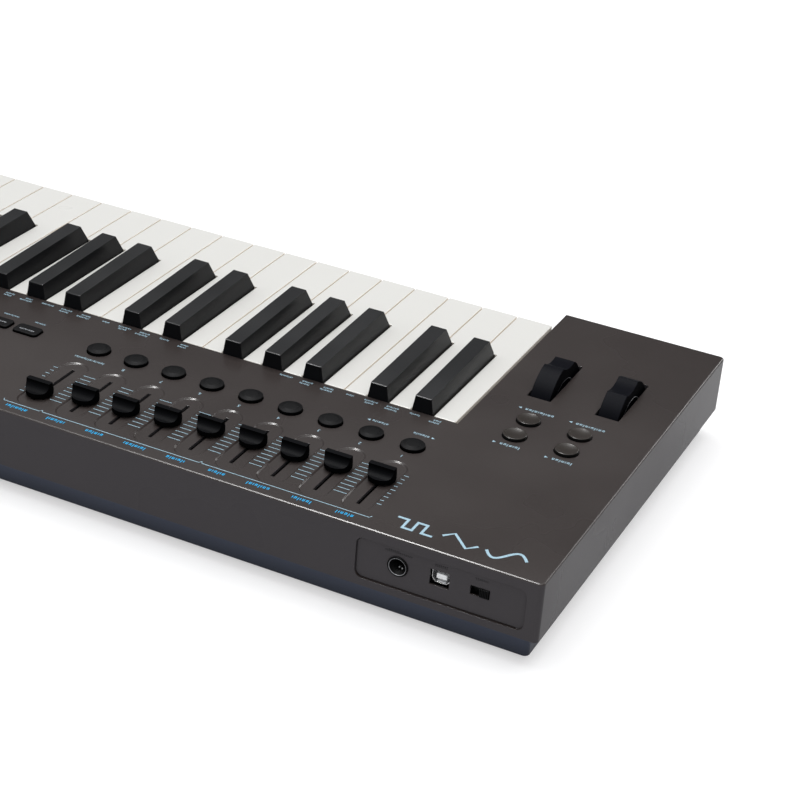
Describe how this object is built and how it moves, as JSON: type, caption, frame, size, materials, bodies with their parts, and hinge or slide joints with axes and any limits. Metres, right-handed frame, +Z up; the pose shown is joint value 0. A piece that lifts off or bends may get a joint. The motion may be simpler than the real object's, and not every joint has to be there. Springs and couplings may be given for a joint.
{
  "type": "midi keyboard",
  "caption": "Desktop music keyboard controller with sprung piano keys, slider faders, pitch and modulation wheels, push buttons, drum pads and rear sockets.",
  "frame": {"origin": "middle of the footprint on the surface that the feet stand on", "axes": "+X from the low keys to the high keys, -Y towards the player, +Z up"},
  "size_m": [0.6414, 0.29, 0.0641],
  "materials": {
    "case_top": "fine metallic satin paint on moulded plastic, warm dark grey",
    "case_base": "moulded plastic, fine texture, dark blue grey",
    "key_white": "semi-gloss, warm white",
    "key_black": "fine grain, satin",
    "cap_black": "satin",
    "mat_rubber": "matte silicone",
    "pad_rubber": "matte silicone",
    "wheel_rubber": "soft matte, blue black",
    "button_brown": "satin lacquer, brown grey",
    "chassis_plastic": "natural moulded plastic",
    "circuit_board": "black solder mask over glass laminate",
    "legend_ink": "pad-printed ink, pale blue",
    "legend_cyan": "pad-printed ink, bright cyan",
    "display_window": "clear gloss over black",
    "plated_steel": "zinc plated",
    "foot_rubber": "matte rubber"
  },
  "bodies": {
    "case": {"top_case": "case_top", "bottom_case": "case_base", "keybed_frame": "chassis_plastic", "control_board": "circuit_board", "connector_board": "circuit_board", "button_mat": "mat_rubber", "pad_mat": "pad_rubber"},
    "pitch_bend": {"wheel_pitch_bend": "wheel_rubber"},
    "modulation": {"wheel_modulation": "wheel_rubber"},
    "fader_1": {"fader_cap_1": "cap_black"},
    "fader_2": {"fader_cap_2": "cap_black"},
    "fader_3": {"fader_cap_3": "cap_black"},
    "fader_4": {"fader_cap_4": "cap_black"},
    "fader_5": {"fader_cap_5": "cap_black"},
    "fader_6": {"fader_cap_6": "cap_black"},
    "fader_7": {"fader_cap_7": "cap_black"},
    "fader_8": {"fader_cap_8": "cap_black"},
    "fader_9": {"fader_cap_9": "cap_black"},
    "transpose_down": {"button_transpose_down": "button_brown"},
    "octave_down": {"button_octave_down": "button_brown"},
    "transpose_up": {"button_transpose_up": "button_brown"},
    "octave_up": {"button_octave_up": "button_brown"},
    "power": {"power_switch_slider": "cap_black"},
    "key_01": {"key_01_white": "key_white"},
    "key_02": {"key_02_black": "key_black"},
    "key_03": {"key_03_white": "key_white"},
    "key_04": {"key_04_black": "key_black"},
    "key_05": {"key_05_white": "key_white"},
    "key_06": {"key_06_white": "key_white"},
    "key_07": {"key_07_black": "key_black"},
    "key_08": {"key_08_white": "key_white"},
    "key_09": {"key_09_black": "key_black"},
    "key_10": {"key_10_white": "key_white"},
    "key_11": {"key_11_black": "key_black"},
    "key_12": {"key_12_white": "key_white"},
    "key_13": {"key_13_white": "key_white"},
    "key_14": {"key_14_black": "key_black"},
    "key_15": {"key_15_white": "key_white"},
    "key_16": {"key_16_black": "key_black"},
    "key_17": {"key_17_white": "key_white"},
    "key_18": {"key_18_white": "key_white"},
    "key_19": {"key_19_black": "key_black"},
    "key_20": {"key_20_white": "key_white"},
    "key_21": {"key_21_black": "key_black"},
    "key_22": {"key_22_white": "key_white"},
    "key_23": {"key_23_black": "key_black"},
    "key_24": {"key_24_white": "key_white"},
    "key_25": {"key_25_white": "key_white"},
    "key_26": {"key_26_black": "key_black"},
    "key_27": {"key_27_white": "key_white"},
    "key_28": {"key_28_black": "key_black"},
    "key_29": {"key_29_white": "key_white"},
    "key_30": {"key_30_white": "key_white"},
    "key_31": {"key_31_black": "key_black"},
    "key_32": {"key_32_white": "key_white"},
    "key_33": {"key_33_black": "key_black"},
    "key_34": {"key_34_white": "key_white"},
    "key_35": {"key_35_black": "key_black"},
    "key_36": {"key_36_white": "key_white"},
    "key_37": {"key_37_white": "key_white"}
  },
  "joints": [
    {"name": "pitch_bend_turn", "type": "hinge", "parent": "case", "child": "pitch_bend", "pos_m": [-0.28605, -0.058, 0.0365], "axis": [1, 0, 0], "range_deg": [-30, 30], "stiffness_Nm_per_rad": 0.15},
    {"name": "modulation_turn", "type": "hinge", "parent": "case", "child": "modulation", "pos_m": [-0.24425, -0.058, 0.0365], "axis": [1, 0, 0], "range_deg": [-39, 21]},
    {"name": "fader_1_slide", "type": "slide", "parent": "case", "child": "fader_1", "axis": [0, -1, 0], "range_m": [-0.0238, 0.0092]},
    {"name": "fader_2_slide", "type": "slide", "parent": "case", "child": "fader_2", "axis": [0, -1, 0], "range_m": [-0.0222, 0.0108]},
    {"name": "fader_3_slide", "type": "slide", "parent": "case", "child": "fader_3", "axis": [0, -1, 0], "range_m": [-0.0205, 0.0125]},
    {"name": "fader_4_slide", "type": "slide", "parent": "case", "child": "fader_4", "axis": [0, -1, 0], "range_m": [-0.0198, 0.0132]},
    {"name": "fader_5_slide", "type": "slide", "parent": "case", "child": "fader_5", "axis": [0, -1, 0], "range_m": [-0.018, 0.015]},
    {"name": "fader_6_slide", "type": "slide", "parent": "case", "child": "fader_6", "axis": [0, -1, 0], "range_m": [-0.0147, 0.0183]},
    {"name": "fader_7_slide", "type": "slide", "parent": "case", "child": "fader_7", "axis": [0, -1, 0], "range_m": [-0.0119, 0.0211]},
    {"name": "fader_8_slide", "type": "slide", "parent": "case", "child": "fader_8", "axis": [0, -1, 0], "range_m": [-0.0103, 0.0227]},
    {"name": "fader_9_slide", "type": "slide", "parent": "case", "child": "fader_9", "axis": [0, -1, 0], "range_m": [-0.0028, 0.0302]},
    {"name": "transpose_down_press", "type": "slide", "parent": "case", "child": "transpose_down", "axis": [0, 0, -1], "range_m": [0, 0.0012], "stiffness_N_per_m": 400, "springref_m": -0.001},
    {"name": "octave_down_press", "type": "slide", "parent": "case", "child": "octave_down", "axis": [0, 0, -1], "range_m": [0, 0.0012], "stiffness_N_per_m": 400, "springref_m": -0.001},
    {"name": "transpose_up_press", "type": "slide", "parent": "case", "child": "transpose_up", "axis": [0, 0, -1], "range_m": [0, 0.0012], "stiffness_N_per_m": 400, "springref_m": -0.001},
    {"name": "octave_up_press", "type": "slide", "parent": "case", "child": "octave_up", "axis": [0, 0, -1], "range_m": [0, 0.0012], "stiffness_N_per_m": 400, "springref_m": -0.001},
    {"name": "power_slide", "type": "slide", "parent": "case", "child": "power", "axis": [1, 0, 0], "range_m": [0, 0.0048]},
    {"name": "key_01_press", "type": "hinge", "parent": "case", "child": "key_01", "pos_m": [-0.2039, 0.045, 0.036], "axis": [1, 0, 0], "range_deg": [0, 3.5], "stiffness_Nm_per_rad": 0.5, "springref_deg": -8.59},
    {"name": "key_02_press", "type": "hinge", "parent": "case", "child": "key_02", "pos_m": [-0.19465, 0.045, 0.036], "axis": [1, 0, 0], "range_deg": [0, 3.5], "stiffness_Nm_per_rad": 0.5, "springref_deg": -8.59},
    {"name": "key_03_press", "type": "hinge", "parent": "case", "child": "key_03", "pos_m": [-0.1804, 0.045, 0.036], "axis": [1, 0, 0], "range_deg": [0, 3.5], "stiffness_Nm_per_rad": 0.5, "springref_deg": -8.59},
    {"name": "key_04_press", "type": "hinge", "parent": "case", "child": "key_04", "pos_m": [-0.16655, 0.045, 0.036], "axis": [1, 0, 0], "range_deg": [0, 3.5], "stiffness_Nm_per_rad": 0.5, "springref_deg": -8.59},
    {"name": "key_05_press", "type": "hinge", "parent": "case", "child": "key_05", "pos_m": [-0.1569, 0.045, 0.036], "axis": [1, 0, 0], "range_deg": [0, 3.5], "stiffness_Nm_per_rad": 0.5, "springref_deg": -8.59},
    {"name": "key_06_press", "type": "hinge", "parent": "case", "child": "key_06", "pos_m": [-0.1334, 0.045, 0.036], "axis": [1, 0, 0], "range_deg": [0, 3.5], "stiffness_Nm_per_rad": 0.5, "springref_deg": -8.59},
    {"name": "key_07_press", "type": "hinge", "parent": "case", "child": "key_07", "pos_m": [-0.12465, 0.045, 0.036], "axis": [1, 0, 0], "range_deg": [0, 3.5], "stiffness_Nm_per_rad": 0.5, "springref_deg": -8.59},
    {"name": "key_08_press", "type": "hinge", "parent": "case", "child": "key_08", "pos_m": [-0.1099, 0.045, 0.036], "axis": [1, 0, 0], "range_deg": [0, 3.5], "stiffness_Nm_per_rad": 0.5, "springref_deg": -8.59},
    {"name": "key_09_press", "type": "hinge", "parent": "case", "child": "key_09", "pos_m": [-0.09795, 0.045, 0.036], "axis": [1, 0, 0], "range_deg": [0, 3.5], "stiffness_Nm_per_rad": 0.5, "springref_deg": -8.59},
    {"name": "key_10_press", "type": "hinge", "parent": "case", "child": "key_10", "pos_m": [-0.0864, 0.045, 0.036], "axis": [1, 0, 0], "range_deg": [0, 3.5], "stiffness_Nm_per_rad": 0.5, "springref_deg": -8.59},
    {"name": "key_11_press", "type": "hinge", "parent": "case", "child": "key_11", "pos_m": [-0.07135, 0.045, 0.036], "axis": [1, 0, 0], "range_deg": [0, 3.5], "stiffness_Nm_per_rad": 0.5, "springref_deg": -8.59},
    {"name": "key_12_press", "type": "hinge", "parent": "case", "child": "key_12", "pos_m": [-0.0629, 0.045, 0.036], "axis": [1, 0, 0], "range_deg": [0, 3.5], "stiffness_Nm_per_rad": 0.5, "springref_deg": -8.59},
    {"name": "key_13_press", "type": "hinge", "parent": "case", "child": "key_13", "pos_m": [-0.0394, 0.045, 0.036], "axis": [1, 0, 0], "range_deg": [0, 3.5], "stiffness_Nm_per_rad": 0.5, "springref_deg": -8.59},
    {"name": "key_14_press", "type": "hinge", "parent": "case", "child": "key_14", "pos_m": [-0.03015, 0.045, 0.036], "axis": [1, 0, 0], "range_deg": [0, 3.5], "stiffness_Nm_per_rad": 0.5, "springref_deg": -8.59},
    {"name": "key_15_press", "type": "hinge", "parent": "case", "child": "key_15", "pos_m": [-0.0159, 0.045, 0.036], "axis": [1, 0, 0], "range_deg": [0, 3.5], "stiffness_Nm_per_rad": 0.5, "springref_deg": -8.59},
    {"name": "key_16_press", "type": "hinge", "parent": "case", "child": "key_16", "pos_m": [-0.00205, 0.045, 0.036], "axis": [1, 0, 0], "range_deg": [0, 3.5], "stiffness_Nm_per_rad": 0.5, "springref_deg": -8.59},
    {"name": "key_17_press", "type": "hinge", "parent": "case", "child": "key_17", "pos_m": [0.0076, 0.045, 0.036], "axis": [1, 0, 0], "range_deg": [0, 3.5], "stiffness_Nm_per_rad": 0.5, "springref_deg": -8.59},
    {"name": "key_18_press", "type": "hinge", "parent": "case", "child": "key_18", "pos_m": [0.0311, 0.045, 0.036], "axis": [1, 0, 0], "range_deg": [0, 3.5], "stiffness_Nm_per_rad": 0.5, "springref_deg": -8.59},
    {"name": "key_19_press", "type": "hinge", "parent": "case", "child": "key_19", "pos_m": [0.03985, 0.045, 0.036], "axis": [1, 0, 0], "range_deg": [0, 3.5], "stiffness_Nm_per_rad": 0.5, "springref_deg": -8.59},
    {"name": "key_20_press", "type": "hinge", "parent": "case", "child": "key_20", "pos_m": [0.0546, 0.045, 0.036], "axis": [1, 0, 0], "range_deg": [0, 3.5], "stiffness_Nm_per_rad": 0.5, "springref_deg": -8.59},
    {"name": "key_21_press", "type": "hinge", "parent": "case", "child": "key_21", "pos_m": [0.06655, 0.045, 0.036], "axis": [1, 0, 0], "range_deg": [0, 3.5], "stiffness_Nm_per_rad": 0.5, "springref_deg": -8.59},
    {"name": "key_22_press", "type": "hinge", "parent": "case", "child": "key_22", "pos_m": [0.0781, 0.045, 0.036], "axis": [1, 0, 0], "range_deg": [0, 3.5], "stiffness_Nm_per_rad": 0.5, "springref_deg": -8.59},
    {"name": "key_23_press", "type": "hinge", "parent": "case", "child": "key_23", "pos_m": [0.09315, 0.045, 0.036], "axis": [1, 0, 0], "range_deg": [0, 3.5], "stiffness_Nm_per_rad": 0.5, "springref_deg": -8.59},
    {"name": "key_24_press", "type": "hinge", "parent": "case", "child": "key_24", "pos_m": [0.1016, 0.045, 0.036], "axis": [1, 0, 0], "range_deg": [0, 3.5], "stiffness_Nm_per_rad": 0.5, "springref_deg": -8.59},
    {"name": "key_25_press", "type": "hinge", "parent": "case", "child": "key_25", "pos_m": [0.1251, 0.045, 0.036], "axis": [1, 0, 0], "range_deg": [0, 3.5], "stiffness_Nm_per_rad": 0.5, "springref_deg": -8.59},
    {"name": "key_26_press", "type": "hinge", "parent": "case", "child": "key_26", "pos_m": [0.13435, 0.045, 0.036], "axis": [1, 0, 0], "range_deg": [0, 3.5], "stiffness_Nm_per_rad": 0.5, "springref_deg": -8.59},
    {"name": "key_27_press", "type": "hinge", "parent": "case", "child": "key_27", "pos_m": [0.1486, 0.045, 0.036], "axis": [1, 0, 0], "range_deg": [0, 3.5], "stiffness_Nm_per_rad": 0.5, "springref_deg": -8.59},
    {"name": "key_28_press", "type": "hinge", "parent": "case", "child": "key_28", "pos_m": [0.16245, 0.045, 0.036], "axis": [1, 0, 0], "range_deg": [0, 3.5], "stiffness_Nm_per_rad": 0.5, "springref_deg": -8.59},
    {"name": "key_29_press", "type": "hinge", "parent": "case", "child": "key_29", "pos_m": [0.1721, 0.045, 0.036], "axis": [1, 0, 0], "range_deg": [0, 3.5], "stiffness_Nm_per_rad": 0.5, "springref_deg": -8.59},
    {"name": "key_30_press", "type": "hinge", "parent": "case", "child": "key_30", "pos_m": [0.1956, 0.045, 0.036], "axis": [1, 0, 0], "range_deg": [0, 3.5], "stiffness_Nm_per_rad": 0.5, "springref_deg": -8.59},
    {"name": "key_31_press", "type": "hinge", "parent": "case", "child": "key_31", "pos_m": [0.20435, 0.045, 0.036], "axis": [1, 0, 0], "range_deg": [0, 3.5], "stiffness_Nm_per_rad": 0.5, "springref_deg": -8.59},
    {"name": "key_32_press", "type": "hinge", "parent": "case", "child": "key_32", "pos_m": [0.2191, 0.045, 0.036], "axis": [1, 0, 0], "range_deg": [0, 3.5], "stiffness_Nm_per_rad": 0.5, "springref_deg": -8.59},
    {"name": "key_33_press", "type": "hinge", "parent": "case", "child": "key_33", "pos_m": [0.23105, 0.045, 0.036], "axis": [1, 0, 0], "range_deg": [0, 3.5], "stiffness_Nm_per_rad": 0.5, "springref_deg": -8.59},
    {"name": "key_34_press", "type": "hinge", "parent": "case", "child": "key_34", "pos_m": [0.2426, 0.045, 0.036], "axis": [1, 0, 0], "range_deg": [0, 3.5], "stiffness_Nm_per_rad": 0.5, "springref_deg": -8.59},
    {"name": "key_35_press", "type": "hinge", "parent": "case", "child": "key_35", "pos_m": [0.25765, 0.045, 0.036], "axis": [1, 0, 0], "range_deg": [0, 3.5], "stiffness_Nm_per_rad": 0.5, "springref_deg": -8.59},
    {"name": "key_36_press", "type": "hinge", "parent": "case", "child": "key_36", "pos_m": [0.2661, 0.045, 0.036], "axis": [1, 0, 0], "range_deg": [0, 3.5], "stiffness_Nm_per_rad": 0.5, "springref_deg": -8.59},
    {"name": "key_37_press", "type": "hinge", "parent": "case", "child": "key_37", "pos_m": [0.2896, 0.045, 0.036], "axis": [1, 0, 0], "range_deg": [0, 3.5], "stiffness_Nm_per_rad": 0.5, "springref_deg": -8.59}
  ]
}
